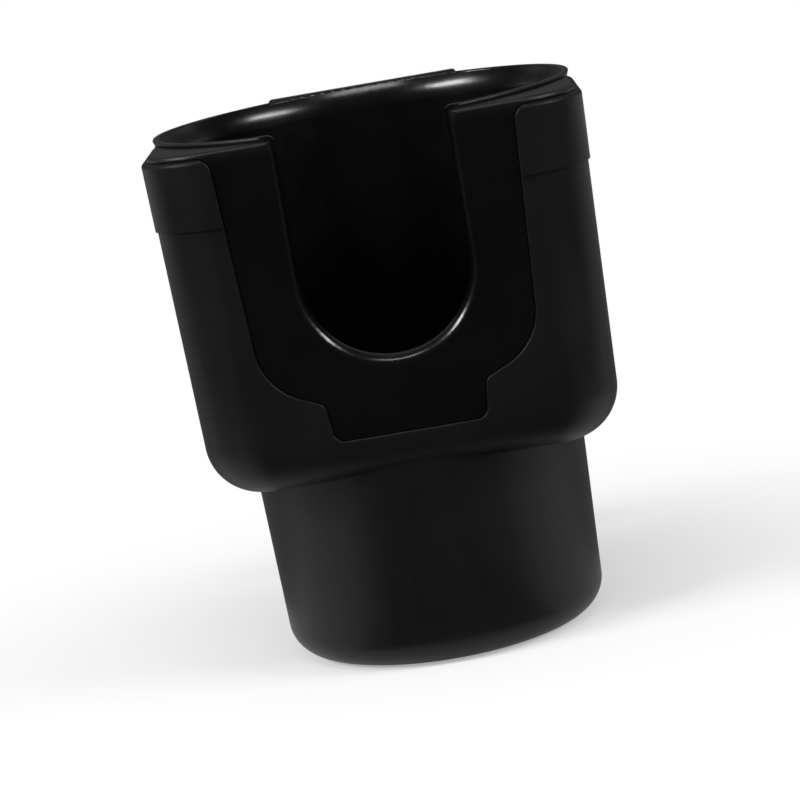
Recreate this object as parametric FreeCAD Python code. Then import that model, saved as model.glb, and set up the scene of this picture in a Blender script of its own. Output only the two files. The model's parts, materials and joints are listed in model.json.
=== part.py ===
import FreeCAD, Part
import math
import os

# Vent-mounted cup holder, millimetres. Origin: centre of the base on the surface it stands on.
# +Z up, -Y towards the person using it (the handle slot), +Y towards the air vent.

# Overall
RIM_TOP = 118.0
SHOULDER_TOP = 54.0         # the walls of the upper part start here, on the round shoulder
BODY_HALF_WIDTH = 44.15     # upper part of the shell, at SHOULDER_TOP
DRAFT = 0.0288              # sideways growth of the upper part per millimetre of height

# Walls and fits
SHELL_WALL = 1.45
SHELL_FLOOR = 2.0           # the liner stands on it
LINER_WALL = 1.8
LINER_FLOOR = 1.8
LINER_GAP = 0.15            # liner to shell, all round
OPENING_GAP = 0.22          # liner to the edge of the shell's opening and to the shell's top edge
RUNNING_GAP = 0.05          # radial play of a turning fit
SCREW_GAP = 0.1             # radial play of a screw in the piece it holds
HEAD_GAP = 0.2              # round and over a sunk screw head
ARM_GAP = 0.15              # beside the support arm and its foot

# Upper, squarish part of the shell
BODY_SHALLOWER = 4.15       # the flat front lies this much nearer the axis than the sides do
BODY_CORNER_R = 14.0
SHOULDER_R = 11.25
RIM_ABOVE_SHELL = 2.3
BAND_HEIGHT = 14.5
BAND_PROUD = 0.46
BAND_LIP_R = 0.9

# Lower, round part of the shell
CUP_SET_IN = 7.32           # from the sides of the upper part in to the round part, at SHOULDER_TOP
CUP_DRAFT = 0.0346
BASE_FILLET = 6.9

# Opening in the front of the shell; heights are measured from SHOULDER_TOP
OPEN_SIDE = 15.2            # shell left standing on each side, at the lower corner
OPEN_LOW = 12.3
OPEN_LEAN = 0.0514          # sideways growth per millimetre of height
OPEN_CORNER_R = 13.0
NOTCH_HALF = 16.9
NOTCH_HIGH = 7.0
NOTCH_DEPTH = 1.3           # the notch's bottom lies this far below SHOULDER_TOP
NOTCH_TAPER = 0.95
NOTCH_EASE_R = 2.2
NOTCH_CORNER_R = 2.4
STRIP_CORNER_R = 3.6        # inner top corners of the two strips beside the opening
STRIP_CORNER_RISE = 0.3    # the corner would level out this far above the shell's top
OPEN_EDGE_R = 0.35          # rounding of the opening's outer edge

# Liner
PANEL_RECESS = 0.55         # front panel behind the shell's front face
BRIM_INSET = 1.05           # brim over the shell's top edge, in from the shell's sides
BRIM_EDGE_R = 0.8
LEDGE_DROP = 1.0            # top of the brim below the rim's top
BORE_CORNER_R = 4.0
FLARE_DEPTH = 5.0           # the bore curves outwards over this height to the rim
RIM_INSET = 0.49            # rim in from the shell's sides
RIM_WALL = 1.6
RIM_FLARE = 0.4             # the rim's outside narrows by this much towards the brim
RIM_EDGE_R = 0.4
SLOT_HALF = 17.6            # handle slot, clear half width and radius of its round bottom
SLOT_ABOVE_SHOULDER = 15.0
SLOT_LIP_R = 2.4            # front edge of the slot
SLOT_BACK_R = 0.3           # its back edge, on the bore's side
SLOT_TOP_R = 1.5
POCKET_WALL = 1.6           # walls round the two hollow front corners
POCKET_SIDE = 5.9           # from the slot's side to the hollow
POCKET_BACK = 6.0           # the hollows end this far in front of the axis

# Mount plate on the back, and the boss that carries it
PLATE_CLEAR = 1.0           # in front of the plate, to the shell's sides carried up to the rim's top
PLATE_BELOW_RIM = 0.15
PLATE_T = 3.0
PLATE_HALF = 22.0
PLATE_TOP_R = 0.8
PLATE_LOW_R = 5.0
BOSS_MARGIN = 1.5           # plate standing out beside the boss
BOSS_UP = 2.0               # boss above the plate's lower edge
BOSS_BELOW_SHELL_TOP = 2.7
BOSS_EDGE_R = 3.0
PLATE_SCREW_R = 1.25
PLATE_SCREW_SIDE = 3.3      # screw centre to the boss's side
PLATE_SCREW_UP = 7.5        # lower screws above the boss's lower edge
PLATE_SCREW_DOWN = 4.5      # upper screws below the boss's top
PLATE_SCREW_IN = 4.5
SCREW_HOLE_SPARE = 0.3      # hole deeper than the screw
PLATE_HEAD_R = 2.9
PLATE_HEAD = 1.7
PLATE_HEAD_EDGE_R = 0.8
CROSS_HALF = 1.6            # driver recess
CROSS_ARM_HALF = 0.45
CROSS_DEPTH = 0.9

# Swivel between the plate and the vent clip
SWIVEL_DROP = 25.85         # swivel axis below the plate's top
COLLAR_BORE_R = 12.6
COLLAR_WALL = 2.9
COLLAR_SHORT = 0.4          # the collar ends this far inside the hub's flange
WASHER_T = 0.8
WASHER_PLAY = 0.3
WASHER_BORE_R = 6.0
FLANGE_T = 4.8
NECK_R = 8.0
NECK_PLAY = 0.3
NUT_WALL = 2.9
NUT_LIP = 2.4
NUT_CLEAR = 1.0             # nut to clip body
NUT_FOOT = 0.4              # nut to plate
NUT_EDGE = 0.6
NUT_GRIPS = 20
NUT_GRIP_R = 1.5
HUB_SCREW_R = 1.5
HUB_HEAD_R = 3.4
HUB_HEAD = 2.2
HUB_SCREW_IN = 4.2

# Vent clip; heights are measured from the swivel axis
CLIP_HALF_X = 11.0
CLIP_UP = 9.0
CLIP_DOWN = 9.4
CLIP_LENGTH = 15.0
CLIP_EDGE_R = 1.8
WHEEL_DOWN = 4.8
WHEEL_R = 8.6
WHEEL_T = 5.2
WHEEL_BEHIND = 5.4          # solid end of the clip body, between hub and wheel
WHEEL_EDGE = 0.5
WHEEL_GRIPS = 18
WHEEL_GRIP_R = 0.9
WINDOW_GAP = 0.25           # clip body to the wheel's flat faces
WINDOW_ROOM = 0.5           # clip body to the wheel's edge
GRIP_SINK = 0.45            # grip hollows stand out of the edge by this share of their radius
ROD_R = 2.5
ROD_GAP = 0.08
ROD_HOLE_IN = 1.0           # blind end of the rod's hole, from the hub
ROD_SPARE = 0.4
JAW_IN = 3.0                # travel of the hook towards the clip body and away from it
JAW_GAP = 4.8               # between the ribs of the two pads, at rest
HOOK_FREE = 0.4             # hook to clip body with the hook drawn right in
ROD_IN_HOOK = 2.0
HOOK_HALF_X = 6.0
HOOK_T = 2.4
HOOK_BEND_R = 1.9
HOOK_CORNER_R = 2.5
HOOK_BELOW_CLIP_TOP = 2.5
PAD_T = 1.6
PAD_RIB = 0.6
PAD_RIBS = 4
BODY_PAD_SIDE = 2.0         # pad in from the clip body's sides
BODY_PAD_LOW = 3.4          # pad above the rod's axis
HOOK_PAD_SIDE = 0.8
HOOK_PAD_LOW = 2.6
PAD_TOP_MARGIN = 1.4

# Support arm and foot
HINGE_DROP = 30.0           # arm's hinge below the swivel axis
HINGE_BEHIND = 6.5          # arm's hinge behind the plate
ARM_LENGTH = 37.0           # between its two pins
EAR_INNER = 5.4
EAR_T = 3.0
EAR_R = 4.6
EAR_MARGIN = 0.4            # plate below the ears
BARREL_R = 4.2
PIN_R = 1.75
PIN_END = 0.2
PIN_HEAD_R = 2.95
PIN_HEAD = 1.4
ARM_T = 3.2
ARM_EYE_R = 2.2
ARM_GROOVE = 1.0
ARM_GROOVE_SIDE = 2.2
ARM_GROOVE_LOW = 9.0
ARM_GROOVE_HIGH = 8.0
FORK_SLOT = 5.0
FORK_UP = 4.2
FOOT_PIN_R = 1.25
FOOT_R = 8.5
FOOT_T = 2.4
FOOT_OFFSET = 5.2           # foot's back face from its pin
FOOT_LUG_R = 2.4
FOOT_PAD_T = 2.0
FOOT_PAD_EDGE_R = 1.2

# Places worked out from the sizes above
TOP_HALF_WIDTH = BODY_HALF_WIDTH + DRAFT * (RIM_TOP - SHOULDER_TOP)
BODY_FRONT = BODY_HALF_WIDTH - BODY_SHALLOWER
SHELL_TOP = RIM_TOP - RIM_ABOVE_SHELL
BAND_BOTTOM = SHELL_TOP - BAND_HEIGHT
LEDGE_Z = RIM_TOP - LEDGE_DROP
THROAT_Z = RIM_TOP - FLARE_DEPTH
RIM_R = TOP_HALF_WIDTH - RIM_INSET
SLOT_BOTTOM = SHOULDER_TOP + SLOT_ABOVE_SHOULDER
LINER_INSET = SHELL_WALL + LINER_GAP
BORE_INSET = LINER_INSET + LINER_WALL
PLATE_FRONT = TOP_HALF_WIDTH + PLATE_CLEAR
PLATE_BACK = PLATE_FRONT + PLATE_T
PLATE_TOP = RIM_TOP - PLATE_BELOW_RIM
SWIVEL_Z = PLATE_TOP - SWIVEL_DROP
COLLAR_R = COLLAR_BORE_R + COLLAR_WALL
HUB_START = PLATE_BACK + WASHER_T
FLANGE_END = HUB_START + FLANGE_T
NECK_END = FLANGE_END + NUT_LIP + NUT_CLEAR
NUT_R = COLLAR_R + NUT_WALL
CLIP_END = NECK_END + CLIP_LENGTH
CLIP_TOP = SWIVEL_Z + CLIP_UP
CLIP_BOTTOM = SWIVEL_Z - CLIP_DOWN
WHEEL_Z = SWIVEL_Z - WHEEL_DOWN
WHEEL_START = NECK_END + WHEEL_BEHIND
WHEEL_END = WHEEL_START + WHEEL_T
HOOK_START = CLIP_END + HOOK_FREE + JAW_IN
HOOK_FACE = CLIP_END + 2 * (PAD_T + PAD_RIB) + JAW_GAP
HOOK_TOP = CLIP_TOP - HOOK_BELOW_CLIP_TOP
HINGE_Y = PLATE_BACK + HINGE_BEHIND
HINGE_Z = SWIVEL_Z - HINGE_DROP
FOOT_Z = HINGE_Z - ARM_LENGTH
PLATE_BOTTOM = HINGE_Z - EAR_R - EAR_MARGIN
BOSS_HALF = PLATE_HALF - BOSS_MARGIN
BOSS_BOTTOM = PLATE_BOTTOM + BOSS_UP
BOSS_TOP = SHELL_TOP - BOSS_BELOW_SHELL_TOP
FOOT_START = HINGE_Y + FOOT_OFFSET
FOOT_END = FOOT_START + FOOT_T
REACH = 2 * BODY_HALF_WIDTH  # tools for cuts start and end outside everything
FRONT_CUT = BODY_FRONT / 4   # tools for cuts in the front reach this far in
OVERLAP = 0.5                # fused pieces reach this far into each other, and cuts past a face
NEAR = 0.001


def vec(x, y, z):
    return FreeCAD.Vector(x, y, z)


def along_y(radius, y0, y1, x=0.0, z=0.0):
    return Part.makeCylinder(radius, y1 - y0, vec(x, y0, z), vec(0, 1, 0))


def along_x(radius, x0, x1, y=0.0, z=0.0):
    return Part.makeCylinder(radius, x1 - x0, vec(x0, y, z), vec(1, 0, 0))


def block(x0, x1, y0, y1, z0, z1):
    return Part.makeBox(x1 - x0, y1 - y0, z1 - z0, vec(x0, y0, z0))


def edges_at(shape, axis, value):
    """Edges that lie wholly where the coordinate named by axis ("X", "Y" or "Z") has this value."""
    found = []
    for edge in shape.Edges:
        ends = (getattr(edge.BoundBox, axis + "Min"), getattr(edge.BoundBox, axis + "Max"))
        if max(abs(end - value) for end in ends) < NEAR:
            found.append(edge)
    return found


def edges_along(edges, axis, length):
    """Those of the edges that span this length along the axis."""
    return [edge for edge in edges
            if abs(getattr(edge.BoundBox, axis + "Length") - length) < NEAR]


def arc_middle(radius):
    """How far the middle of a quarter arc stands off each of the two lines it joins."""
    return radius * (1 - math.sqrt(0.5))


def revolved(points):
    """Solid of revolution about Z; a point with three entries is the middle of an arc."""
    edges = []
    here = points[0]
    index = 1
    while index < len(points):
        point = points[index]
        if len(point) == 3:
            after = points[index + 1]
            edges.append(Part.Arc(vec(here[0], 0, here[1]), vec(point[0], 0, point[1]),
                                  vec(after[0], 0, after[1])).toShape())
            here = after
            index += 2
        else:
            edges.append(Part.LineSegment(vec(here[0], 0, here[1]), vec(point[0], 0, point[1])).toShape())
            here = point
            index += 1
    face = Part.Face(Part.Wire(edges))
    return face.revolve(vec(0, 0, 0), vec(0, 0, 1), 360)


def rounded_outline(corners, y):
    """Closed outline in the plane at y; each corner is (x, z, radius), and radius 0 leaves it sharp."""
    marks = []
    for index, (x, z, radius) in enumerate(corners):
        here = vec(x, y, z)
        before = corners[index - 1]
        after = corners[(index + 1) % len(corners)]
        back = (vec(before[0], y, before[1]) - here).normalize()
        onward = (vec(after[0], y, after[1]) - here).normalize()
        half_turn = (math.pi - back.getAngle(onward)) / 2
        start = here + back * (radius * math.tan(half_turn))
        end = here + onward * (radius * math.tan(half_turn))
        middle = here + (back + onward).normalize() * (radius / math.cos(half_turn) - radius)
        marks.append((start, middle, end, radius))
    edges = []
    for index, (start, middle, end, radius) in enumerate(marks):
        if radius > 0:
            edges.append(Part.Arc(start, middle, end).toShape())
        edges.append(Part.LineSegment(end, marks[(index + 1) % len(marks)][0]).toShape())
    return Part.Wire(edges)


def half_width(z):
    return BODY_HALF_WIDTH + DRAFT * (z - SHOULDER_TOP)


def front_face(z):
    return half_width(z) - BODY_SHALLOWER


def panel_front(z):
    return front_face(z) - PANEL_RECESS


def cup_radius(z):
    return BODY_HALF_WIDTH - CUP_SET_IN + CUP_DRAFT * (z - SHOULDER_TOP)


def plan_wire(z, side_inset, front_inset):
    """Flat front, two round corners, straight sides and a round back, seen from above."""
    w = half_width(z) - side_inset
    f = front_face(z) - front_inset
    r = BODY_CORNER_R - side_inset
    mid = arc_middle(r)
    pieces = [Part.Arc(vec(-w, r - f, z), vec(mid - w, mid - f, z), vec(r - w, -f, z)),
              Part.LineSegment(vec(r - w, -f, z), vec(w - r, -f, z)),
              Part.Arc(vec(w - r, -f, z), vec(w - mid, mid - f, z), vec(w, r - f, z)),
              Part.LineSegment(vec(w, r - f, z), vec(w, 0, z)),
              Part.Arc(vec(w, 0, z), vec(0, w, z), vec(-w, 0, z)),
              Part.LineSegment(vec(-w, 0, z), vec(-w, r - f, z))]
    return Part.Wire([piece.toShape() for piece in pieces])


def plan_solid(z0, z1, side_inset, front_inset):
    wires = [plan_wire(z, side_inset, front_inset) for z in (z0, z1)]
    return Part.makeLoft(wires, True, True)


def upper_solid(inset, top):
    """Squarish upper part, with the round shoulder under it."""
    low = SHOULDER_TOP - SHOULDER_R + inset
    body = plan_solid(low, top, inset, inset)
    return body.makeFillet(SHOULDER_R - inset, edges_at(body, "Z", low))


def lower_solid(inset, floor):
    """Round lower part with its rounded base edge, up into the shoulder."""
    top = SHOULDER_TOP - SHOULDER_R / 4
    r = BASE_FILLET - inset
    wall = cup_radius(floor + r) - inset
    mid = arc_middle(r)
    return revolved([(0, floor), (wall - r, floor), (wall - mid, floor + mid, "arc"), (wall, floor + r),
                     (cup_radius(top) - inset, top), (0, top), (0, floor)])


def body_solid(inset, floor, top):
    return upper_solid(inset, top).fuse(lower_solid(inset, floor))


def opening_solid(gap, top):
    """The front opening as a solid that runs in from the front; gap shrinks it all round."""
    open_half = BODY_HALF_WIDTH - OPEN_SIDE
    open_low = SHOULDER_TOP + OPEN_LOW
    level = SHELL_TOP + STRIP_CORNER_RISE
    strip_x = open_half + OPEN_LEAN * (level - open_low)
    wide_x = strip_x + 2 * STRIP_CORNER_R
    right = [(NOTCH_HALF - NOTCH_TAPER, SHOULDER_TOP - NOTCH_DEPTH, NOTCH_CORNER_R),
             (NOTCH_HALF, SHOULDER_TOP + NOTCH_HIGH, NOTCH_EASE_R),
             (open_half, open_low, OPEN_CORNER_R),
             (strip_x, level, STRIP_CORNER_R),
             (wide_x, level, 0),
             (wide_x, top + gap, 0)]
    left = [(-x, z, radius) for x, z, radius in reversed(right)]
    face = Part.Face(rounded_outline(right + left, -REACH))
    if gap > 0:
        face = Part.Face(face.makeOffset2D(-gap).Wires[0])
    return face.extrude(vec(0, REACH - BODY_FRONT + FRONT_CUT, 0))


def with_opening(solid):
    """Cuts the opening into a solid and rounds the edge that it leaves in the outer face."""
    cut = solid.cut(opening_solid(0.0, SHELL_TOP + REACH))
    back = FRONT_CUT - BODY_FRONT
    edges = []
    for face in cut.Faces:
        is_wall = abs(face.BoundBox.YMax - back) < NEAR and face.BoundBox.YLength > FRONT_CUT / 2
        if is_wall:
            edges += [edge for edge in face.Edges if edge.BoundBox.YMax < back - FRONT_CUT / 2]
    return cut.makeFillet(OPEN_EDGE_R, edges)


def outer_shell():
    body = with_opening(body_solid(0.0, 0.0, BAND_BOTTOM + BAND_LIP_R))
    band = plan_solid(BAND_BOTTOM, SHELL_TOP, -BAND_PROUD, -BAND_PROUD)
    band = band.makeFillet(BAND_LIP_R, edges_at(band, "Z", SHELL_TOP))
    band = with_opening(band)
    inner = BODY_FRONT - FRONT_CUT
    boss = block(-BOSS_HALF, BOSS_HALF, inner, PLATE_FRONT, BOSS_BOTTOM, BOSS_TOP)
    boss = boss.makeFillet(BOSS_EDGE_R, edges_along(boss.Edges, "Y", PLATE_FRONT - inner))
    body = body.fuse([band, boss])
    body = body.cut(body_solid(SHELL_WALL, SHELL_FLOOR, RIM_TOP))
    for x, z in plate_screw_places():
        hole = along_y(PLATE_SCREW_R, PLATE_FRONT - PLATE_SCREW_IN - SCREW_HOLE_SPARE, PLATE_BACK, x, z)
        body = body.cut(hole)
    return body.removeSplitter()


def bore_solid():
    """Inside of the cup: round throughout, stepped at the shoulder, with a flared mouth."""
    base = SHELL_FLOOR + LINER_FLOOR
    mid = arc_middle(BORE_CORNER_R)
    floor_r = cup_radius(base + BORE_CORNER_R) - BORE_INSET
    rise = SHOULDER_R - BORE_INSET
    shoulder_r = BODY_HALF_WIDTH - BORE_INSET
    centre_r = shoulder_r - rise
    waist_r = cup_radius(SHOULDER_TOP - rise) - BORE_INSET
    waist_z = SHOULDER_TOP - math.sqrt(rise ** 2 - (waist_r - centre_r) ** 2)
    step = rise - arc_middle(rise)
    throat_r = half_width(THROAT_Z) - BORE_INSET
    mouth_r = RIM_R - RIM_WALL
    mouth_z = RIM_TOP - RIM_EDGE_R
    edge = arc_middle(RIM_EDGE_R)
    widening = mouth_r - throat_r
    flare_r = (widening ** 2 + (mouth_z - THROAT_Z) ** 2) / (2 * widening)
    half_turn = math.atan(widening / (mouth_z - THROAT_Z))
    flare_x = throat_r + flare_r * (1 - math.cos(half_turn))
    flare_z = THROAT_Z + flare_r * math.sin(half_turn)
    return revolved([(0, base), (floor_r - BORE_CORNER_R, base), (floor_r - mid, base + mid, "arc"),
                     (floor_r, base + BORE_CORNER_R), (waist_r, waist_z),
                     (centre_r + step, SHOULDER_TOP - step, "arc"), (shoulder_r, SHOULDER_TOP),
                     (throat_r, THROAT_Z), (flare_x, flare_z, "arc"), (mouth_r, mouth_z),
                     (mouth_r + edge, RIM_TOP - edge, "arc"), (mouth_r + RIM_EDGE_R, RIM_TOP),
                     (mouth_r + RIM_EDGE_R, RIM_TOP + FLARE_DEPTH), (0, RIM_TOP + FLARE_DEPTH), (0, base)])


def front_slab(distance, low, high):
    """Everything in front of a wall that leans with the shell's front face, from low to high."""
    points = [vec(-REACH, -distance(low), low), vec(-REACH, -distance(high), high),
              vec(-REACH, -REACH, high), vec(-REACH, -REACH, low)]
    return Part.Face(Part.makePolygon(points + [points[0]])).extrude(vec(2 * REACH, 0, 0))


def bore_front():
    """What the round bore leaves standing at the front: a flat wall that curves in at the shoulder."""
    rise = SHOULDER_R - BORE_INSET
    flat = BODY_FRONT - BORE_INSET
    low = SHOULDER_TOP - rise
    mid = arc_middle(rise)
    waist = cup_radius(low) - BORE_INSET

    def behind(z):
        return front_face(z) - BORE_INSET
    slab = front_slab(behind, SHOULDER_TOP, RIM_TOP + FLARE_DEPTH)
    edges = [Part.LineSegment(vec(-REACH, -flat, SHOULDER_TOP), vec(-REACH, -REACH, SHOULDER_TOP)),
             Part.LineSegment(vec(-REACH, -REACH, SHOULDER_TOP), vec(-REACH, -REACH, low)),
             Part.LineSegment(vec(-REACH, -REACH, low), vec(-REACH, rise - flat, low)),
             Part.Arc(vec(-REACH, rise - flat, low), vec(-REACH, mid - flat, low + mid),
                      vec(-REACH, -flat, SHOULDER_TOP))]
    curve = Part.Face(Part.Wire([edge.toShape() for edge in edges])).extrude(vec(2 * REACH, 0, 0))
    inner = revolved([(0, low - rise), (waist, low - rise), (waist, SHOULDER_TOP), (0, SHOULDER_TOP),
                      (0, low - rise)])
    return slab.fuse(curve).cut(inner)


def slot_solid():
    """Handle slot: parallel sides, round bottom, open at the top."""
    top = RIM_TOP + SLOT_HALF
    arc_z = SLOT_BOTTOM + SLOT_HALF
    edges = [Part.LineSegment(vec(-SLOT_HALF, -REACH, top), vec(SLOT_HALF, -REACH, top)),
             Part.LineSegment(vec(SLOT_HALF, -REACH, top), vec(SLOT_HALF, -REACH, arc_z)),
             Part.Arc(vec(SLOT_HALF, -REACH, arc_z), vec(0, -REACH, SLOT_BOTTOM),
                      vec(-SLOT_HALF, -REACH, arc_z)),
             Part.LineSegment(vec(-SLOT_HALF, -REACH, arc_z), vec(-SLOT_HALF, -REACH, top))]
    depth = REACH - BODY_FRONT + FRONT_CUT
    return Part.Face(Part.Wire([edge.toShape() for edge in edges])).extrude(vec(0, depth, 0))


def slot_edges(shape, face, low):
    """Edges of the slot that lie in the plane whose distance in front of the axis is face(z)."""
    found = []
    for edge in shape.Edges:
        points = edge.discretize(7)
        in_face = all(abs(point.y + face(point.z)) < NEAR for point in points)
        beside_slot = all(abs(point.x) < SLOT_HALF + NEAR and point.z > low + NEAR for point in points)
        if in_face and beside_slot:
            found.append(edge)
    return found


def slot_tool():
    """The handle slot together with the rounding of its front and back edges."""
    low = SLOT_BOTTOM - 2 * SLOT_LIP_R
    high = RIM_TOP + SLOT_HALF / 2
    half = SLOT_HALF + 2 * SLOT_LIP_R

    def bore_side(z):
        return front_face(z) - BORE_INSET
    plate = block(-half, half, -REACH, REACH, low, high)
    plate = plate.common(front_slab(bore_side, low - OVERLAP, high + OVERLAP))
    plate = plate.cut(front_slab(panel_front, low - OVERLAP, high + OVERLAP))
    shape = plate.cut(slot_solid())
    for face, radius in ((panel_front, SLOT_LIP_R), (bore_side, SLOT_BACK_R)):
        shape = shape.makeFillet(radius, slot_edges(shape, face, low))
    return plate.cut(shape).fuse(slot_solid())


def slot_corner(side):
    """Material taken off the rim beside the slot, so that its top corner is round."""
    r = SLOT_TOP_R
    x0, x1 = sorted((side * (SLOT_HALF - r), side * (SLOT_HALF + r)))
    front, back = -REACH, FRONT_CUT - BODY_FRONT
    corner = block(x0, x1, front, back, RIM_TOP - r, RIM_TOP + r)
    return corner.cut(along_y(r, front, back, side * (SLOT_HALF + r), RIM_TOP - r))


def liner_pocket():
    """Both hollow front corners of the liner, open from below, between its outer walls and the bore."""
    low = SHOULDER_TOP - SHOULDER_R
    outside = plan_solid(low, LEDGE_Z - POCKET_WALL, LINER_INSET + POCKET_WALL, LINER_INSET + POCKET_WALL)
    shoulder_r = BODY_HALF_WIDTH - BORE_INSET + POCKET_WALL
    throat_r = half_width(THROAT_Z) - BORE_INSET + POCKET_WALL
    core = revolved([(0, low - OVERLAP), (shoulder_r, low - OVERLAP), (shoulder_r, SHOULDER_TOP),
                     (throat_r, THROAT_Z), (throat_r, RIM_TOP), (0, RIM_TOP), (0, low - OVERLAP)])
    middle = SLOT_HALF + POCKET_SIDE
    keep = block(-middle, middle, -REACH, 0, low - OVERLAP, RIM_TOP)
    behind = block(-REACH, REACH, -POCKET_BACK, REACH, low - OVERLAP, RIM_TOP)
    return outside.cut(core).cut(keep).cut(behind)


def rim_ring():
    """The round rim that stands on the brim, cut flat at the front beside the slot."""
    inner = RIM_R - 3 * RIM_WALL
    low = LEDGE_Z - OVERLAP
    edge = arc_middle(RIM_EDGE_R)
    ring = revolved([(inner, low), (RIM_R - RIM_FLARE, low), (RIM_R, RIM_TOP - RIM_EDGE_R),
                     (RIM_R - edge, RIM_TOP - edge, "arc"), (RIM_R - RIM_EDGE_R, RIM_TOP),
                     (inner, RIM_TOP), (inner, low)])

    def behind_edge(z):
        return panel_front(z) - BRIM_EDGE_R
    return ring.cut(front_slab(behind_edge, low - OVERLAP, RIM_TOP + OVERLAP))


def inner_liner():
    liner = body_solid(LINER_INSET, SHELL_FLOOR, SHELL_TOP)
    brim_low = SHELL_TOP + OPENING_GAP
    panel = opening_solid(OPENING_GAP, brim_low + LINER_GAP)
    panel = panel.common(plan_solid(SHOULDER_TOP - SHOULDER_R, LEDGE_Z, BRIM_INSET, PANEL_RECESS))
    brim = plan_solid(brim_low, LEDGE_Z, BRIM_INSET, PANEL_RECESS)
    brim = brim.makeFillet(BRIM_EDGE_R, edges_at(brim, "Z", LEDGE_Z))
    neck = plan_solid(SHELL_TOP - OVERLAP, brim_low + LINER_GAP, LINER_INSET, LINER_INSET)
    liner = liner.fuse([panel, neck, brim, rim_ring()])
    liner = liner.cut(liner_pocket())
    liner = liner.cut(bore_solid().cut(bore_front()))
    liner = liner.cut(slot_tool())
    for side in (-1, 1):
        liner = liner.cut(slot_corner(side))
    return liner.removeSplitter()


def plate_screw_places():
    places = []
    for z in (BOSS_BOTTOM + PLATE_SCREW_UP, BOSS_TOP - PLATE_SCREW_DOWN):
        for side in (-1, 1):
            places.append((side * (BOSS_HALF - PLATE_SCREW_SIDE), z))
    return places


def mount_plate():
    plate = block(-PLATE_HALF, PLATE_HALF, PLATE_FRONT, PLATE_BACK, PLATE_BOTTOM, PLATE_TOP)
    plate = plate.makeFillet(PLATE_LOW_R, edges_along(edges_at(plate, "Z", PLATE_BOTTOM), "Y", PLATE_T))
    plate = plate.makeFillet(PLATE_TOP_R, edges_along(edges_at(plate, "Z", PLATE_TOP), "Y", PLATE_T))
    collar_end = FLANGE_END - COLLAR_SHORT
    plate = plate.fuse(along_y(COLLAR_R, PLATE_BACK - OVERLAP, collar_end, 0, SWIVEL_Z))
    for side in (-1, 1):
        x0, x1 = sorted((side * EAR_INNER, side * (EAR_INNER + EAR_T)))
        ear = along_x(EAR_R, x0, x1, HINGE_Y, HINGE_Z)
        web = block(x0, x1, PLATE_BACK - OVERLAP, HINGE_Y, HINGE_Z - EAR_R, HINGE_Z + EAR_R)
        plate = plate.fuse([ear, web])
    plate = plate.cut(along_y(COLLAR_BORE_R, PLATE_BACK, collar_end + OVERLAP, 0, SWIVEL_Z))
    plate = plate.cut(along_x(PIN_R, -REACH, REACH, HINGE_Y, HINGE_Z))
    for x, z in plate_screw_places():
        plate = plate.cut(along_y(PLATE_SCREW_R, PLATE_FRONT - OVERLAP, PLATE_BACK + OVERLAP, x, z))
    return plate.removeSplitter()


def cross_recess(y0, y1, x, z):
    """Cross-shaped driver recess between y0 and y1."""
    level = block(x - CROSS_HALF, x + CROSS_HALF, y0, y1, z - CROSS_ARM_HALF, z + CROSS_ARM_HALF)
    upright = block(x - CROSS_ARM_HALF, x + CROSS_ARM_HALF, y0, y1, z - CROSS_HALF, z + CROSS_HALF)
    return level.fuse(upright)


def plate_screw(x, z):
    end = PLATE_BACK + PLATE_HEAD
    head = along_y(PLATE_HEAD_R, PLATE_BACK, end, x, z)
    head = head.makeFillet(PLATE_HEAD_EDGE_R, edges_at(head, "Y", end))
    screw = head.fuse(along_y(PLATE_SCREW_R, PLATE_FRONT - PLATE_SCREW_IN, PLATE_BACK, x, z))
    return screw.cut(cross_recess(end - CROSS_DEPTH, end + OVERLAP, x, z)).removeSplitter()


def hub_washer():
    ring = along_y(COLLAR_BORE_R - WASHER_PLAY, PLATE_BACK, HUB_START, 0, SWIVEL_Z)
    return ring.cut(along_y(WASHER_BORE_R, PLATE_FRONT, NECK_END, 0, SWIVEL_Z))


def swivel_hub():
    flange = along_y(COLLAR_BORE_R - RUNNING_GAP, HUB_START, FLANGE_END, 0, SWIVEL_Z)
    hub = flange.fuse(along_y(NECK_R, FLANGE_END, NECK_END, 0, SWIVEL_Z))
    hub = hub.cut(along_y(HUB_SCREW_R + SCREW_GAP, PLATE_BACK, NECK_END + OVERLAP, 0, SWIVEL_Z))
    hub = hub.cut(along_y(HUB_HEAD_R + HEAD_GAP, PLATE_BACK, HUB_START + HUB_HEAD, 0, SWIVEL_Z))
    return hub.removeSplitter()


def hub_screw():
    face = HUB_START + HEAD_GAP
    seat = HUB_START + HUB_HEAD
    head = along_y(HUB_HEAD_R, face, seat, 0, SWIVEL_Z)
    shank = along_y(HUB_SCREW_R, seat, NECK_END + HUB_SCREW_IN - HEAD_GAP, 0, SWIVEL_Z)
    recess = cross_recess(PLATE_BACK, face + CROSS_DEPTH, 0, SWIVEL_Z)
    return head.fuse(shank).cut(recess).removeSplitter()


def with_grips(wheel, radius, y0, y1, z, count, grip_r):
    """Cuts finger hollows, evenly spaced, into the edge of a wheel."""
    reach = radius + grip_r * GRIP_SINK
    for index in range(count):
        angle = 2 * math.pi * (index + 0.5) / count
        hollow_x = reach * math.cos(angle)
        hollow_z = z + reach * math.sin(angle)
        wheel = wheel.cut(along_y(grip_r, y0 - OVERLAP, y1 + OVERLAP, hollow_x, hollow_z))
    return wheel


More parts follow.
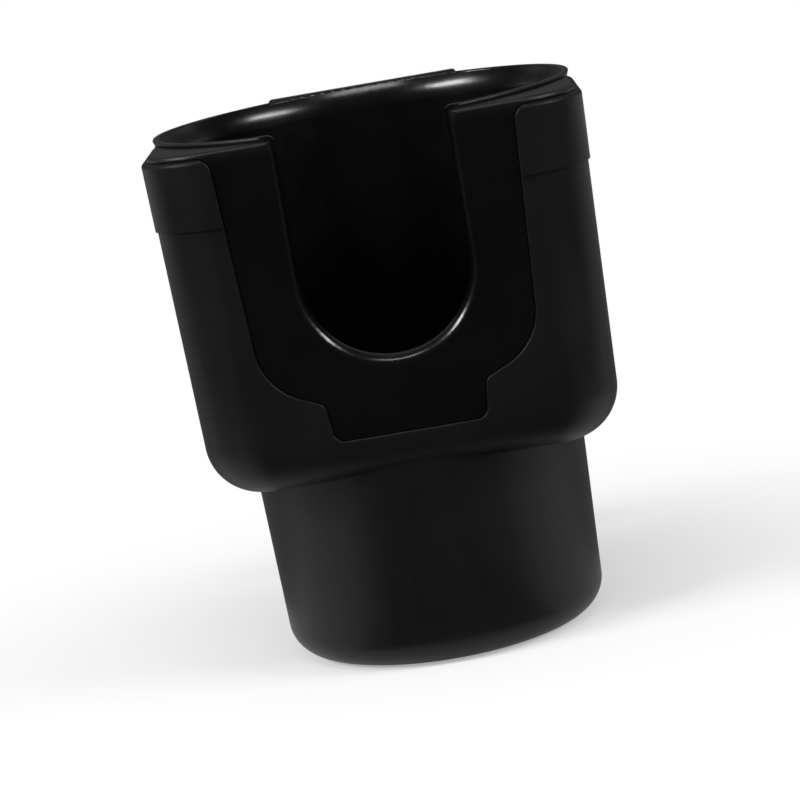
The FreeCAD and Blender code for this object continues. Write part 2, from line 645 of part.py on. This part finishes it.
def collar_nut():
    start = PLATE_BACK + NUT_FOOT
    end = FLANGE_END + NUT_LIP
    nut = along_y(NUT_R, start, end, 0, SWIVEL_Z)
    nut = nut.makeChamfer(NUT_EDGE, edges_at(nut, "Y", start) + edges_at(nut, "Y", end))
    nut = nut.cut(along_y(COLLAR_R + RUNNING_GAP, PLATE_BACK, FLANGE_END, 0, SWIVEL_Z))
    nut = nut.cut(along_y(NECK_R + NECK_PLAY, PLATE_BACK, NECK_END, 0, SWIVEL_Z))
    return with_grips(nut, NUT_R, start, end, SWIVEL_Z, NUT_GRIPS, NUT_GRIP_R)


def clip_body():
    body = block(-CLIP_HALF_X, CLIP_HALF_X, NECK_END, CLIP_END, CLIP_BOTTOM, CLIP_TOP)
    body = body.makeFillet(CLIP_EDGE_R, edges_along(body.Edges, "Y", CLIP_LENGTH))
    room = WHEEL_R + WINDOW_ROOM
    window = block(-room, room, WHEEL_START - WINDOW_GAP, WHEEL_END + WINDOW_GAP,
                   WHEEL_Z - 2 * room, WHEEL_Z + room)
    body = body.cut(window)
    body = body.cut(along_y(ROD_R + ROD_GAP, NECK_END + ROD_HOLE_IN, CLIP_END + OVERLAP, 0, WHEEL_Z))
    body = body.cut(along_y(HUB_SCREW_R, NECK_END - OVERLAP, NECK_END + HUB_SCREW_IN, 0, SWIVEL_Z))
    return body.removeSplitter()


def thumb_nut():
    wheel = along_y(WHEEL_R, WHEEL_START, WHEEL_END, 0, WHEEL_Z)
    wheel = wheel.makeChamfer(WHEEL_EDGE, edges_at(wheel, "Y", WHEEL_START) + edges_at(wheel, "Y", WHEEL_END))
    wheel = wheel.cut(along_y(ROD_R + RUNNING_GAP, NECK_END, CLIP_END, 0, WHEEL_Z))
    return with_grips(wheel, WHEEL_R, WHEEL_START, WHEEL_END, WHEEL_Z, WHEEL_GRIPS, WHEEL_GRIP_R)


def hook():
    """Flat strip bent up at its end, on the threaded rod that the wheel draws in and out."""
    low = WHEEL_Z - HOOK_T / 2
    end = HOOK_FACE + HOOK_T
    strip = block(-HOOK_HALF_X, HOOK_HALF_X, HOOK_START, end, low, low + HOOK_T)
    tip = block(-HOOK_HALF_X, HOOK_HALF_X, HOOK_FACE, end, low, HOOK_TOP)
    shape = strip.fuse(tip).removeSplitter()
    bend = [edge for edge in edges_at(shape, "Y", end) if abs(edge.BoundBox.ZMax - low) < NEAR]
    shape = shape.makeFillet(HOOK_BEND_R, bend)
    shape = shape.makeFillet(HOOK_CORNER_R, edges_along(edges_at(shape, "Z", HOOK_TOP), "Y", HOOK_T))
    rod_start = NECK_END + ROD_HOLE_IN + ROD_SPARE + JAW_IN
    return shape.fuse(along_y(ROD_R, rod_start, HOOK_START + ROD_IN_HOOK, 0, WHEEL_Z)).removeSplitter()


def ribbed_pad(half_x, seat, outward, z0, z1):
    """Rubber pad on the face at seat, with level ribs on its outer side; outward is +1 or -1."""
    face = seat + outward * PAD_T
    y0, y1 = sorted((seat, face))
    pad = block(-half_x, half_x, y0, y1, z0, z1)
    pitch = (z1 - z0) / PAD_RIBS
    for index in range(PAD_RIBS):
        pad = pad.fuse(along_x(PAD_RIB, -half_x, half_x, face, z0 + pitch * (index + 0.5)))
    return pad.removeSplitter()


def body_pad():
    low = WHEEL_Z + BODY_PAD_LOW
    return ribbed_pad(CLIP_HALF_X - BODY_PAD_SIDE, CLIP_END, 1, low, CLIP_TOP - PAD_TOP_MARGIN)


def hook_pad():
    low = WHEEL_Z + HOOK_PAD_LOW
    return ribbed_pad(HOOK_HALF_X - HOOK_PAD_SIDE, HOOK_FACE, -1, low, HOOK_TOP - PAD_TOP_MARGIN)


def support_arm():
    half = EAR_INNER - ARM_GAP
    back = HINGE_Y + ARM_T / 2
    arm = block(-half, half, HINGE_Y - ARM_T / 2, back, FOOT_Z, HINGE_Z)
    arm = arm.fuse([along_x(BARREL_R, -half, half, HINGE_Y, HINGE_Z),
                    along_x(ARM_EYE_R, -half, half, HINGE_Y, FOOT_Z)])
    arm = arm.cut(along_x(PIN_R + RUNNING_GAP, -REACH, REACH, HINGE_Y, HINGE_Z))
    fork = FORK_SLOT / 2 + ARM_GAP
    arm = arm.cut(block(-fork, fork, PLATE_BACK, FOOT_END, 0, FOOT_Z + FORK_UP))
    arm = arm.cut(along_x(FOOT_PIN_R, -REACH, REACH, HINGE_Y, FOOT_Z))
    groove = half - ARM_GROOVE_SIDE
    arm = arm.cut(block(-groove, groove, back - ARM_GROOVE, FOOT_END,
                        FOOT_Z + ARM_GROOVE_LOW, HINGE_Z - ARM_GROOVE_HIGH))
    return arm.removeSplitter()


def arm_pin():
    reach = EAR_INNER + EAR_T
    pin = along_x(PIN_R, -reach - PIN_END, reach, HINGE_Y, HINGE_Z)
    return pin.fuse(along_x(PIN_HEAD_R, reach, reach + PIN_HEAD, HINGE_Y, HINGE_Z)).removeSplitter()


def foot_pin():
    half = EAR_INNER - ARM_GAP
    return along_x(FOOT_PIN_R, -half, half, HINGE_Y, FOOT_Z)


def foot():
    half = FORK_SLOT / 2
    disc = along_y(FOOT_R, FOOT_START, FOOT_END, 0, FOOT_Z)
    lug = block(-half, half, HINGE_Y, FOOT_START + OVERLAP, FOOT_Z - FOOT_LUG_R, FOOT_Z + FOOT_LUG_R)
    shape = disc.fuse([lug, along_x(FOOT_LUG_R, -half, half, HINGE_Y, FOOT_Z)])
    return shape.cut(along_x(FOOT_PIN_R + RUNNING_GAP, -REACH, REACH, HINGE_Y, FOOT_Z)).removeSplitter()


def foot_pad():
    pad = along_y(FOOT_R, FOOT_END, FOOT_END + FOOT_PAD_T, 0, FOOT_Z)
    return pad.makeFillet(FOOT_PAD_EDGE_R, edges_at(pad, "Y", FOOT_END + FOOT_PAD_T))


def build_all():
    pieces = {
        "outer_shell": outer_shell(),
        "inner_liner": inner_liner(),
        "mount_plate": mount_plate(),
        "hub_washer": hub_washer(),
        "swivel_hub": swivel_hub(),
        "hub_screw": hub_screw(),
        "collar_nut": collar_nut(),
        "clip_body": clip_body(),
        "body_pad": body_pad(),
        "thumb_nut": thumb_nut(),
        "hook": hook(),
        "hook_pad": hook_pad(),
        "support_arm": support_arm(),
        "arm_pin": arm_pin(),
        "foot": foot(),
        "foot_pin": foot_pin(),
        "foot_pad": foot_pad(),
    }
    for number, (x, z) in enumerate(plate_screw_places(), start=1):
        pieces["plate_screw_%d" % number] = plate_screw(x, z)
    return pieces


def save(pieces):
    os.makedirs("parts", exist_ok=True)
    for name, shape in pieces.items():
        solid = shape.Solids[0] if len(shape.Solids) == 1 else shape
        box = solid.BoundBox
        print("%-14s solids %d valid %s volume %7.0f  x %.2f..%.2f  y %.2f..%.2f  z %.2f..%.2f" % (
            name, len(solid.Solids), solid.isValid(), solid.Volume,
            box.XMin, box.XMax, box.YMin, box.YMax, box.ZMin, box.ZMax))
        solid.exportStep("parts/%s.step" % name)


save(build_all())
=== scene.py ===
import json
import math

import bpy
import numpy as np
from mathutils import Matrix, Vector


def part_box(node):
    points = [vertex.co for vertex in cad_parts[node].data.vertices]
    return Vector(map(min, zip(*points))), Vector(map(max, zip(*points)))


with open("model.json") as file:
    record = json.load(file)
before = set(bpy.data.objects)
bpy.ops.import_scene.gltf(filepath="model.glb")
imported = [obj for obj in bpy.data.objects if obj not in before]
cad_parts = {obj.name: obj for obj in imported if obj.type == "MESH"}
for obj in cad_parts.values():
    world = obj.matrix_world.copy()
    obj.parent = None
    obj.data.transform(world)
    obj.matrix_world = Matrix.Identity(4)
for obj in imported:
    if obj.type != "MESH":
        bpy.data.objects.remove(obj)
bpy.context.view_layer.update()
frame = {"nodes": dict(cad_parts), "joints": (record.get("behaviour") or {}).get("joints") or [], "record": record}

scene = bpy.context.scene
joints = {joint["name"]: joint for joint in frame["joints"]}
couplings = {pair["joint"]: pair for pair in frame["record"]["behaviour"]["couplings"]}


def gridMesh(name, points, wrap=False):
    # points[i, j] is the surface at step i of the first parameter and step j of the second
    rows, columns = points.shape[:2]
    index = np.arange(rows * columns).reshape(rows, columns)
    if wrap:
        index = np.concatenate([index, index[:, :1]], axis=1)
    corners = [index[:-1, :-1], index[:-1, 1:], index[1:, 1:], index[1:, :-1]]
    faces = np.stack(corners, axis=-1).reshape(-1, 4)
    mesh = bpy.data.meshes.new(name)
    mesh.from_pydata(points.reshape(-1, 3).tolist(), [], faces.tolist())
    mesh.update()
    piece = bpy.data.objects.new(name, mesh)
    scene.collection.objects.link(piece)
    return piece


def newGroup(name, inputs, output):
    # a shader group that takes numbers and gives one number
    group = bpy.data.node_groups.new(name, "ShaderNodeTree")
    for label, value in inputs.items():
        socket = group.interface.new_socket(label, in_out="INPUT", socket_type="NodeSocketFloat")
        socket.default_value = value
    group.interface.new_socket(output, in_out="OUTPUT", socket_type="NodeSocketFloat")
    return group, group.nodes.new("NodeGroupInput"), group.nodes.new("NodeGroupOutput")


def addNode(tree, kind, values=None, **options):
    node = tree.nodes.new(kind)
    for option, value in options.items():
        setattr(node, option, value)
    for socket, value in (values or {}).items():
        node.inputs[socket].default_value = value
    return node


def join(tree, *links):
    # each link is a node, its output, the node it goes to and the input there
    for source, output, target, entry in links:
        tree.links.new(source.outputs[output], target.inputs[entry])


def makeGrain():
    # moulded grain: a fine noise mixed with rounded cells, both given by one scale per metre
    group, given, result = newGroup("mouldGrain", {"Scale": 2500.0, "Cells": 0.4}, "Height")
    place = addNode(group, "ShaderNodeTexCoord")
    noise = addNode(group, "ShaderNodeTexNoise", {"Detail": 3.0, "Roughness": 0.55})
    cells = addNode(group, "ShaderNodeTexVoronoi", {"Smoothness": 0.6}, feature="SMOOTH_F1")
    blend = addNode(group, "ShaderNodeMix")
    for texture in (noise, cells):
        join(group, (place, "Object", texture, "Vector"), (given, "Scale", texture, "Scale"))
    join(group,
         (given, "Cells", blend, "Factor"), (noise, "Fac", blend, "A"), (cells, "Distance", blend, "B"),
         (blend, "Result", result, "Height"))
    return group


def makeHandling():
    # handling marks: broad cloudy patches mixed with thin upright streaks, spread out to a mask from 0 to 1
    streakCells = (420.0, 420.0, 18.0)  # per metre, so a streak is 23 times as long as it is wide
    group, given, result = newGroup("handlingMarks", {"Patches": 45.0, "Streaks": 0.35}, "Mask")
    place = addNode(group, "ShaderNodeTexCoord")
    patches = addNode(group, "ShaderNodeTexNoise", {"Detail": 4.0, "Roughness": 0.6, "Distortion": 0.4})
    squeeze = addNode(group, "ShaderNodeMapping", {"Scale": streakCells})
    streaks = addNode(group, "ShaderNodeTexNoise", {"Scale": 1.0, "Detail": 3.0, "Roughness": 0.7})
    blend = addNode(group, "ShaderNodeMix")
    spread = addNode(group, "ShaderNodeMapRange", {"From Min": 0.34, "From Max": 0.68})
    join(group,
         (place, "Object", patches, "Vector"), (given, "Patches", patches, "Scale"),
         (place, "Object", squeeze, "Vector"), (squeeze, "Vector", streaks, "Vector"),
         (given, "Streaks", blend, "Factor"), (patches, "Fac", blend, "A"), (streaks, "Fac", blend, "B"),
         (blend, "Result", spread, "Value"), (spread, "Result", result, "Mask"))
    return group


def makeSinkWaves():
    # slow waves that a thick moulding cools into, far wider than the grain
    group, given, result = newGroup("sinkWaves", {"Scale": 28.0}, "Height")
    place = addNode(group, "ShaderNodeTexCoord")
    noise = addNode(group, "ShaderNodeTexNoise", {"Detail": 1.0, "Roughness": 0.4})
    join(group,
         (place, "Object", noise, "Vector"), (given, "Scale", noise, "Scale"),
         (noise, "Fac", result, "Height"))
    return group


def makeTurnedLines():
    # fine lines left by turning: a noise that changes fast along y and slowly across it
    group, given, result = newGroup("turnedLines", {"Lines": 9000.0}, "Height")
    place = addNode(group, "ShaderNodeTexCoord")
    squeeze = addNode(group, "ShaderNodeMapping", {"Scale": (0.04, 1.0, 0.04)})
    lines = addNode(group, "ShaderNodeTexNoise", {"Detail": 2.0, "Roughness": 0.7})
    join(group,
         (place, "Object", squeeze, "Vector"), (squeeze, "Vector", lines, "Vector"),
         (given, "Lines", lines, "Scale"), (lines, "Fac", result, "Height"))
    return group


# the thread on the hook's rod, which runs along y at the thumb nut's axis and ends at the hook's plate
hookFree = 0.0004                       # between the clip body and the hook's plate, drawn right in
rodThread = {
    "Pitch": 2.0 * math.pi / couplings["nut_turn"]["ratio"],
    "Axis": joints["nut_turn"]["pos_m"][2],
    "End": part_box("clip_body")[1][1] + joints["hook_slide"]["range_m"][1] + hookFree,
}


def makeThread():
    # screw thread: the height rises and falls once per pitch along y, and the crest climbs by one pitch
    # per turn round an axis at height Axis; it ends where y reaches End
    group, given, result = newGroup("rodThread", rodThread, "Height")
    place = addNode(group, "ShaderNodeTexCoord")
    parts = addNode(group, "ShaderNodeSeparateXYZ")
    above = addNode(group, "ShaderNodeMath", operation="SUBTRACT")
    angle = addNode(group, "ShaderNodeMath", operation="ARCTAN2")
    turns = addNode(group, "ShaderNodeMath", {1: 2.0 * math.pi}, operation="DIVIDE")
    along = addNode(group, "ShaderNodeMath", operation="DIVIDE")
    phase = addNode(group, "ShaderNodeMath", operation="ADD")
    crest = addNode(group, "ShaderNodeMath", {1: 0.5}, operation="PINGPONG")
    onRod = addNode(group, "ShaderNodeMath", operation="LESS_THAN")
    height = addNode(group, "ShaderNodeMath", operation="MULTIPLY")
    join(group,
         (place, "Object", parts, "Vector"),
         (parts, "Z", above, 0), (given, "Axis", above, 1),
         (above, "Value", angle, 0), (parts, "X", angle, 1), (angle, "Value", turns, 0),
         (parts, "Y", along, 0), (given, "Pitch", along, 1),
         (turns, "Value", phase, 0), (along, "Value", phase, 1), (phase, "Value", crest, 0),
         (parts, "Y", onRod, 0), (given, "End", onRod, 1),
         (crest, "Value", height, 0), (onRod, "Value", height, 1),
         (height, "Value", result, "Height"))
    return group


# where the satin brim starts, and the width over which it eases in
brimEdge = {
    "inside": 0.0008, "insideEase": 0.0006,     # in from the liner's widest point
    "below": 0.0042, "belowEase": 0.0028,       # down from the liner's top
}


def makeBrimMask():
    # 1 on the brim and the rim's outer edge, outside a radius and above a height, where the mould isn't
    # polished; each share climbs from 0 to 1 over its own width
    linerWidest, _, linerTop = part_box("inner_liner")[1]
    start = {"Radius": linerWidest - brimEdge["inside"], "Height": linerTop - brimEdge["below"]}
    group, given, result = newGroup("brimMask", start, "Mask")
    place = addNode(group, "ShaderNodeTexCoord")
    parts = addNode(group, "ShaderNodeSeparateXYZ")
    flat = addNode(group, "ShaderNodeVectorMath", {1: (1.0, 1.0, 0.0)}, operation="MULTIPLY")
    radius = addNode(group, "ShaderNodeVectorMath", operation="LENGTH")
    outside = addNode(group, "ShaderNodeMath", operation="SUBTRACT")
    over = addNode(group, "ShaderNodeMath", operation="SUBTRACT")
    outsideShare = addNode(group, "ShaderNodeMapRange", {"From Max": brimEdge["insideEase"]})
    overShare = addNode(group, "ShaderNodeMapRange", {"From Max": brimEdge["belowEase"]})
    both = addNode(group, "ShaderNodeMath", operation="MULTIPLY")
    join(group,
         (place, "Object", flat, 0), (flat, "Vector", radius, 0),
         (radius, "Value", outside, 0), (given, "Radius", outside, 1),
         (outside, "Value", outsideShare, "Value"),
         (place, "Object", parts, "Vector"),
         (parts, "Z", over, 0), (given, "Height", over, 1),
         (over, "Value", overShare, "Value"),
         (outsideShare, "Result", both, 0), (overShare, "Result", both, 1),
         (both, "Value", result, "Mask"))
    return group


groups = {
    "grain": makeGrain(), "handling": makeHandling(), "waves": makeSinkWaves(), "turned": makeTurnedLines(),
    "thread": makeThread(), "brim": makeBrimMask(),
}
print("made", len(groups), "shader groups")


def placeGroup(tree, which, **values):
    return addNode(tree, "ShaderNodeGroup", values, node_tree=groups[which])


# each finish: its nodes, two near tones, the range of roughness, and its reliefs with their depth in metres
finishes = {
    "shellMatte": {
        "nodes": ["outer_shell"],
        "dark": (0.0034, 0.0034, 0.0035), "light": (0.0052, 0.0052, 0.0053), "specular": 0.22,
        "smooth": 0.40, "rough": 0.50, "patches": 32.0, "streaks": 0.30,
        "relief": [("waves", 0.00006, {"Scale": 26.0}),
                   ("grain", 0.000016, {"Scale": 2600.0, "Cells": 0.45})],
    },
    "linerGloss": {
        "nodes": ["inner_liner"],
        "dark": (0.0012, 0.0012, 0.0013), "light": (0.0020, 0.0020, 0.0021),
        "smooth": 0.19, "rough": 0.26, "brimRough": 0.48, "patches": 60.0, "streaks": 0.25,
        "relief": [("waves", 0.00010, {"Scale": 22.0}),
                   ("grain", 0.0000012, {"Scale": 1400.0, "Cells": 0.2})],
    },
    "clipMatte": {
        "nodes": ["mount_plate", "support_arm", "foot",
                  "swivel_hub", "collar_nut", "clip_body", "thumb_nut"],
        "dark": (0.0085, 0.0086, 0.0090), "light": (0.0125, 0.0126, 0.0130),
        "smooth": 0.36, "rough": 0.48, "patches": 70.0, "streaks": 0.40,
        "relief": [("waves", 0.00003, {"Scale": 60.0}),
                   ("grain", 0.000022, {"Scale": 2100.0, "Cells": 0.6})],
    },
    "hookCoat": {
        "nodes": ["hook"],
        "dark": (0.012, 0.012, 0.013), "light": (0.020, 0.020, 0.021),
        "smooth": 0.26, "rough": 0.36, "patches": 90.0, "streaks": 0.2, "coat": 0.25, "coatRoughness": 0.2,
        "relief": [("thread", 0.0007, rodThread),
                   ("grain", 0.00003, {"Scale": 1100.0, "Cells": 0.15})],
    },
    "rubberPad": {
        "nodes": ["body_pad", "hook_pad", "foot_pad"],
        "dark": (0.013, 0.013, 0.013), "light": (0.021, 0.021, 0.020),
        "smooth": 0.70, "rough": 0.86, "patches": 110.0, "streaks": 0.1,
        "relief": [("grain", 0.00003, {"Scale": 3600.0, "Cells": 0.3})],
    },
    "zincSteel": {
        "nodes": ["plate_screw_1", "plate_screw_2", "plate_screw_3", "plate_screw_4",
                  "hub_screw", "hub_washer", "arm_pin", "foot_pin"],
        "dark": (0.46, 0.47, 0.48), "light": (0.62, 0.62, 0.61), "metallic": 1.0,
        "smooth": 0.24, "rough": 0.40, "patches": 160.0, "streaks": 0.5,
        "relief": [("turned", 0.000012, {"Lines": 9000.0}),
                   ("grain", 0.000006, {"Scale": 4000.0, "Cells": 0.2})],
    },
}


def newMaterial(name, look):
    material = bpy.data.materials.new(name)
    material.use_nodes = True
    tree = material.node_tree
    surface = tree.nodes["Principled BSDF"]
    constants = {
        "IOR": 1.5,
        "Metallic": look.get("metallic", 0.0),
        "Specular IOR Level": look.get("specular", 0.5),
        "Coat Weight": look.get("coat", 0.0),
        "Coat Roughness": look.get("coatRoughness", 0.1),
    }
    for socket, value in constants.items():
        surface.inputs[socket].default_value = value

    # the handling marks move both the tone and the roughness from one end of their range to the other
    marks = placeGroup(tree, "handling", Patches=look["patches"], Streaks=look["streaks"])
    tone = addNode(tree, "ShaderNodeMix", {"A": (*look["dark"], 1.0), "B": (*look["light"], 1.0)},
                   data_type="RGBA")
    rough = addNode(tree, "ShaderNodeMapRange", {"To Min": look["smooth"], "To Max": look["rough"]})
    join(tree,
         (marks, "Mask", tone, "Factor"), (tone, "Result", surface, "Base Color"),
         (marks, "Mask", rough, "Value"))
    if "brimRough" in look:
        brim = placeGroup(tree, "brim")
        satin = addNode(tree, "ShaderNodeMix", {"B": look["brimRough"]})
        join(tree, (brim, "Mask", satin, "Factor"), (rough, "Result", satin, "A"))
        rough = satin
    join(tree, (rough, "Result", surface, "Roughness"))

    # the reliefs lie one over another, so each bump starts from the normal of the one before
    relief = None
    for which, depth, values in look["relief"]:
        effect = placeGroup(tree, which, **values)
        bump = addNode(tree, "ShaderNodeBump", {"Strength": 1.0, "Distance": depth})
        join(tree, (effect, "Height", bump, "Height"))
        if relief:
            join(tree, (relief, "Normal", bump, "Normal"))
        relief = bump
    join(tree, (relief, "Normal", surface, "Normal"))
    return material


for finishName, look in finishes.items():
    finish = newMaterial(finishName, look)
    for nodeName in look["nodes"]:
        for materialSlot in frame["nodes"][nodeName].material_slots:
            materialSlot.material = finish
nodeCount = sum(len(look["nodes"]) for look in finishes.values())
print("finished", nodeCount, "nodes with", len(finishes), "finishes")


def whiteForViewer(tree):
    # 1 for camera, mirror and glass rays, 0 for the rays that carry light to the object
    path = addNode(tree, "ShaderNodeLightPath")
    first = addNode(tree, "ShaderNodeMath", operation="MAXIMUM")
    second = addNode(tree, "ShaderNodeMath", operation="MAXIMUM")
    join(tree,
         (path, "Is Camera Ray", first, 0), (path, "Is Glossy Ray", first, 1),
         (first, "Value", second, 0), (path, "Is Transmission Ray", second, 1))
    return second


def makeWorld(grey):
    world = bpy.data.worlds.new("studioWorld")
    world.use_nodes = True
    tree = world.node_tree
    tone = addNode(tree, "ShaderNodeMix", {"A": (grey, grey, grey, 1.0), "B": (1.0, 1.0, 1.0, 1.0)},
                   data_type="RGBA")
    join(tree,
         (whiteForViewer(tree), "Value", tone, "Factor"),
         (tone, "Result", tree.nodes["Background"], "Color"))
    scene.world = world


def emptyMaterial(name):
    # a material with nothing but its output
    material = bpy.data.materials.new(name)
    material.use_nodes = True
    tree = material.node_tree
    tree.nodes.clear()
    return material, tree, addNode(tree, "ShaderNodeOutputMaterial")


floorLook = {
    "rings": [0.0005, *np.linspace(0.02, 0.6, 30), 6.0],    # radii, from a pinhole at the pole outwards
    "steps": 96,                        # round each ring
    "sunk": 0.00005,                    # below the object's base, so that the two surfaces don't meet
    "colour": (0.90, 0.90, 0.90),
    "shadowEase": 0.35,                 # share of plain white laid over the shadow under the object
    "shadowRadius": (0.045, 0.17),      # the floor's own shading fades to plain white between these
}


def makeFloor(look):
    # a disc: the radius grows along the first parameter and the second goes once round
    around = np.linspace(0.0, 2.0 * math.pi, look["steps"], endpoint=False)
    radius, angle = np.meshgrid(look["rings"], around, indexing="ij")
    height = np.full_like(radius, -look["sunk"])
    points = np.stack([radius * np.cos(angle), radius * np.sin(angle), height], axis=-1)
    floor = gridMesh("studioFloor", points, wrap=True)

    material, tree, output = emptyMaterial("paleFloor")
    place = addNode(tree, "ShaderNodeTexCoord")
    distance = addNode(tree, "ShaderNodeVectorMath", operation="LENGTH")
    nearRadius, farRadius = look["shadowRadius"]
    fadeRange = {"From Min": nearRadius, "From Max": farRadius, "To Min": look["shadowEase"]}
    fade = addNode(tree, "ShaderNodeMapRange", fadeRange, interpolation_type="SMOOTHSTEP")
    paper = addNode(tree, "ShaderNodeBsdfDiffuse", {"Color": (*look["colour"], 1.0)})
    white = addNode(tree, "ShaderNodeEmission", {"Color": (1.0, 1.0, 1.0, 1.0), "Strength": 1.0})
    share = addNode(tree, "ShaderNodeMath", operation="MULTIPLY")
    blend = addNode(tree, "ShaderNodeMixShader")
    join(tree,
         (place, "Object", distance, 0), (distance, "Value", fade, "Value"),
         (fade, "Result", share, 0), (whiteForViewer(tree), "Value", share, 1),
         (share, "Value", blend, "Fac"), (paper, "BSDF", blend, 1), (white, "Emission", blend, 2),
         (blend, "Shader", output, "Surface"))
    floor.data.materials.append(material)


# azimuth from the camera's side and elevation in degrees, distance, width, height, and radiance
lamps = {
    "sideBoxRight": (62.0, 30.0, 0.90, 0.40, 0.14, 20.0),
    "sideBoxLeft": (-62.0, 32.0, 0.90, 0.40, 0.16, 25.0),
    "topBox": (-4.0, 58.0, 0.95, 0.52, 0.09, 13.0),
    "edgeStripRight": (124.0, 2.0, 0.95, 0.10, 0.46, 2.0),
    "edgeStripLeft": (-124.0, 2.0, 0.95, 0.10, 0.46, 2.0),
    "frontFill": (0.0, 24.0, 1.30, 1.10, 0.80, 1.0),
}
lampAim = (0.0, 0.0, 0.085)
hiddenFromMirrors = ["frontFill"]


def direction(azimuth, elevation):
    a, e = math.radians(azimuth), math.radians(elevation)
    return Vector((math.sin(a) * math.cos(e), -math.cos(a) * math.cos(e), math.sin(e)))


def addLamp(name, numbers):
    azimuth, elevation, distance, width, height, radiance = numbers
    lamp = bpy.data.lights.new(name, "AREA")
    lamp.shape = "RECTANGLE"
    lamp.size, lamp.size_y = width, height
    lamp.energy = radiance * math.pi * width * height
    outward = direction(azimuth, elevation)
    place = Matrix.Translation(Vector(lampAim) + outward * distance)
    turn = outward.to_track_quat("Z", "Y").to_matrix().to_4x4()
    holder = bpy.data.objects.new(name, lamp)
    holder.matrix_world = place @ turn
    holder.visible_glossy = name not in hiddenFromMirrors
    scene.collection.objects.link(holder)


cardSteps = {"climb": 24, "around": 72}


def dome(radius, low, high):
    # points up a quarter of a sphere, as radius and height, between two elevations in degrees
    climb = np.radians(np.linspace(low, high, cardSteps["climb"]))
    return list(zip(radius * np.cos(climb), radius * np.sin(climb)))


# glowing cards that only mirror rays meet: painted reflections on the glossy black plastic, mostly dark,
# with lighter strips that paint highlight lines along the slot's lip and a grey glow behind; the azimuth from
# the camera's side, the tone, and the profile as radius and height from the floor point under the object
cards = {
    "tableCard": {"azimuth": (-42.0, 52.0), "tone": 0.03,
                  "profile": [(0.040, 0.0006), (0.135, 0.0006), (0.135, 0.026)]},
    "lowCard": {"azimuth": (-84.0, 84.0), "tone": 0.03, "profile": [(0.135, 0.026), (0.135, 0.125)]},
    "lipStripLeft": {"azimuth": (-51.0, -39.0), "tone": 0.15, "profile": [(0.130, 0.03), (0.130, 0.12)]},
    "lipStripRight": {"azimuth": (39.0, 51.0), "tone": 0.15, "profile": [(0.130, 0.03), (0.130, 0.12)]},
    "highCard": {"azimuth": (-126.0, 126.0), "tone": 0.06, "profile": dome(1.7, 0.0, 89.0)},
    "farCard": {"azimuth": (126.0, 234.0), "tone": 0.25, "profile": dome(1.7, 0.0, 89.0)},
    "behindCard": {"azimuth": (104.0, 256.0), "tone": 0.25, "profile": [(0.060, 0.0006), (0.90, 0.0006)]},
    "backCard": {"azimuth": (118.0, 242.0), "tone": 0.08, "profile": [(0.90, 0.09), (0.90, 0.40)]},
}


def makeCard(name, card):
    # the first parameter climbs along the profile and the second goes round by the azimuth
    reach, height = np.array(card["profile"]).T[:, :, None]
    angle = np.radians(np.linspace(*card["azimuth"], cardSteps["around"]))[None, :]
    points = np.stack([reach * np.sin(angle), -reach * np.cos(angle), height + 0.0 * angle], axis=-1)
    screen = gridMesh(name, points)
    material, tree, output = emptyMaterial(name + "Black")
    tone = card["tone"]
    # the card glows at its tone and is hidden from every ray but mirror rays, so it shows only as a painted
    # reflection
    dark = addNode(tree, "ShaderNodeEmission", {"Color": (tone, tone, tone, 1.0), "Strength": 1.0})
    join(tree, (dark, "Emission", output, "Surface"))
    screen.data.materials.append(material)
    for ray in ("camera", "diffuse", "transmission", "shadow", "volume_scatter"):
        setattr(screen, "visible_" + ray, False)


makeWorld(grey=0.36)
makeFloor(floorLook)
for lampName, numbers in lamps.items():
    addLamp(lampName, numbers)
for cardName, card in cards.items():
    makeCard(cardName, card)
print("set the floor,", len(cards), "cards and", len(lamps), "lamps")


# the camera, fitted to the outline of the object in the photograph
camera = {
    "place": (0.0151, -0.6597, 0.1752),
    "forward": (-0.0262, 0.9827, -0.1835),
    "roll": 9.909,                      # degrees, clockwise as seen from behind the camera
    "lens": 137.18,                     # millimetres, as is the sensor's width
    "sensor": 36.0,
    "clip": (0.01, 20.0),               # nearest and farthest thing seen
}


def addCamera(settings):
    forward = Vector(settings["forward"]).normalized()
    level = forward.cross(Vector((0.0, 0.0, 1.0))).normalized()
    rise = level.cross(forward)
    roll = math.radians(settings["roll"])
    right = level * math.cos(roll) - rise * math.sin(roll)
    up = level * math.sin(roll) + rise * math.cos(roll)
    lens = bpy.data.cameras.new("photoCamera")
    lens.lens = settings["lens"]
    lens.sensor_width = settings["sensor"]
    lens.clip_start, lens.clip_end = settings["clip"]
    viewer = bpy.data.objects.new("photoCamera", lens)
    turn = Matrix((right, up, -forward)).transposed().to_4x4()
    viewer.matrix_world = Matrix.Translation(Vector(settings["place"])) @ turn
    scene.collection.objects.link(viewer)
    scene.camera = viewer


addCamera(camera)
scene.view_settings.view_transform = "Standard"
print("set the camera")
